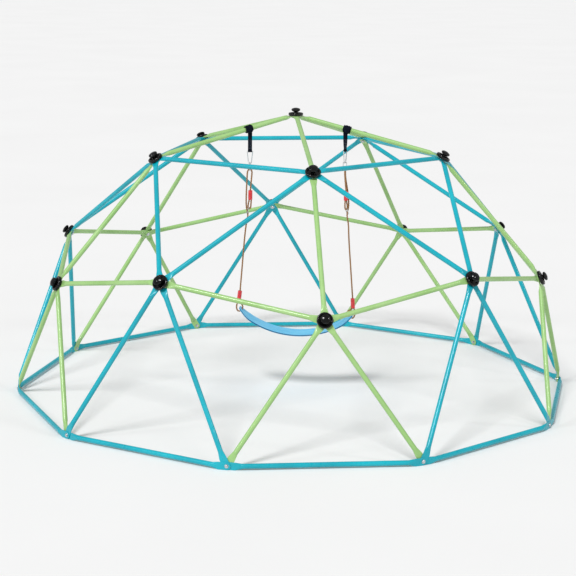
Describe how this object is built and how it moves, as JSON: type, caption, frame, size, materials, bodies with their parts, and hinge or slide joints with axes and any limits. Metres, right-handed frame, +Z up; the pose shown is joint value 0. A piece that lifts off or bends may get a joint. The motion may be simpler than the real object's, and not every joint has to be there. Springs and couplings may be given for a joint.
{
  "type": "dome climber",
  "caption": "Geodesic hemisphere of flattened-end steel tubes bolted at hubs with black discs and knobs, with a belt swing hung from its crown.",
  "frame": {"origin": "on the ground below the middle of the dome", "axes": "+Z up, the front of the dome (as pictured) faces -Y, +X to the viewer's right"},
  "size_m": [3.0704, 2.9556, 1.5693],
  "materials": {
    "green_powder_coat": "gloss powder coat",
    "blue_powder_coat": "gloss powder coat",
    "black_plastic": "gloss moulded",
    "zinc_fasteners": "zinc plated",
    "ring_steel": "bright zinc plated",
    "sling_webbing": "woven polyester webbing",
    "rope_fibre": "laid rope, matt",
    "red_plastic": "ribbed, slightly clear",
    "seat_rubber": "fine-grained moulded EVA"
  },
  "bodies": {
    "root": {"crown_tube_1": "green_powder_coat", "crown_tube_2": "green_powder_coat", "crown_tube_3": "green_powder_coat", "crown_tube_4": "green_powder_coat", "crown_tube_5": "green_powder_coat", "rib_tubes": "green_powder_coat", "side_brace_pair_1": "green_powder_coat", "side_brace_pair_2": "green_powder_coat", "side_brace_pair_3": "green_powder_coat", "side_brace_pair_4": "green_powder_coat", "side_brace_pair_5": "green_powder_coat", "green_leg_pair_1": "green_powder_coat", "green_leg_pair_2": "green_powder_coat", "green_leg_pair_3": "green_powder_coat", "green_leg_pair_4": "green_powder_coat", "green_leg_pair_5": "green_powder_coat", "upper_ring_tubes": "blue_powder_coat", "upper_brace_pair_1": "blue_powder_coat", "upper_brace_pair_2": "blue_powder_coat", "upper_brace_pair_3": "blue_powder_coat", "upper_brace_pair_4": "blue_powder_coat", "upper_brace_pair_5": "blue_powder_coat", "blue_leg_pair_1": "blue_powder_coat", "blue_leg_pair_2": "blue_powder_coat", "blue_leg_pair_3": "blue_powder_coat", "blue_leg_pair_4": "blue_powder_coat", "blue_leg_pair_5": "blue_powder_coat", "base_ring_tubes": "blue_powder_coat", "hub_discs": "black_plastic", "hub_knobs": "black_plastic", "hub_washers": "zinc_fasteners", "hub_bolts": "zinc_fasteners", "foot_bolts": "zinc_fasteners", "foot_washers": "zinc_fasteners", "foot_nuts": "zinc_fasteners", "sling_wrap_left": "sling_webbing", "sling_wrap_right": "sling_webbing"},
    "sling_left": {"sling_tail_left": "sling_webbing", "triangle_ring_left": "ring_steel"},
    "hanger_left": {"snap_hook_left": "ring_steel", "gate_pin_left": "zinc_fasteners", "rope_left": "rope_fibre", "rope_eye_left": "rope_fibre", "seat_loop_left": "rope_fibre", "upper_ferrule_left": "red_plastic", "lower_ferrule_left": "red_plastic", "adjuster_link_left": "ring_steel"},
    "gate_left": {"hook_gate_left": "ring_steel"},
    "sling_right": {"sling_tail_right": "sling_webbing", "triangle_ring_right": "ring_steel"},
    "hanger_right": {"snap_hook_right": "ring_steel", "gate_pin_right": "zinc_fasteners", "rope_right": "rope_fibre", "rope_eye_right": "rope_fibre", "seat_loop_right": "rope_fibre", "upper_ferrule_right": "red_plastic", "lower_ferrule_right": "red_plastic", "adjuster_link_right": "ring_steel"},
    "gate_right": {"hook_gate_right": "ring_steel"},
    "seat": {"belt_seat": "seat_rubber"}
  },
  "joints": [
    {"name": "swing_left", "type": "hinge", "parent": "root", "child": "sling_left", "pos_m": [0, -0.08513, 1.46349], "axis": [1, 0, 0], "range_deg": [-45, 45]},
    {"name": "swing_right", "type": "hinge", "parent": "root", "child": "sling_right", "pos_m": [0, -0.08513, 1.46349], "axis": [1, 0, 0], "range_deg": [-45, 45]},
    {"name": "sway_left", "type": "hinge", "parent": "sling_left", "child": "hanger_left", "pos_m": [-0.256, -0.08513, 1.28285], "axis": [0, 1, 0], "range_deg": [-10, 10]},
    {"name": "sway_right", "type": "hinge", "parent": "sling_right", "child": "hanger_right", "pos_m": [0.262, -0.08513, 1.28285], "axis": [0, 1, 0], "range_deg": [-10, 10]},
    {"name": "seat_level", "type": "hinge", "parent": "hanger_left", "child": "seat", "pos_m": [-0.2962, -0.0439, 0.461], "axis": [0, 1, 0], "range_deg": [-10, 10]},
    {"name": "gate_left", "type": "hinge", "parent": "hanger_left", "child": "gate_left", "pos_m": [-0.256, -0.07613, 1.2505], "axis": [1, 0, 0], "range_deg": [0, 18], "stiffness_Nm_per_rad": 0.05, "springref_deg": -9.74},
    {"name": "gate_right", "type": "hinge", "parent": "hanger_right", "child": "gate_right", "pos_m": [0.27069, -0.08746, 1.2505], "axis": [-0.2588, -0.9659, 0], "range_deg": [0, 18], "stiffness_Nm_per_rad": 0.05, "springref_deg": -9.74}
  ],
  "couplings": [
    {"joint": "swing_right", "follows": "swing_left", "ratio": 1},
    {"joint": "sway_right", "follows": "sway_left", "ratio": 0.9689},
    {"joint": "seat_level", "follows": "sway_left", "ratio": -0.8687}
  ]
}
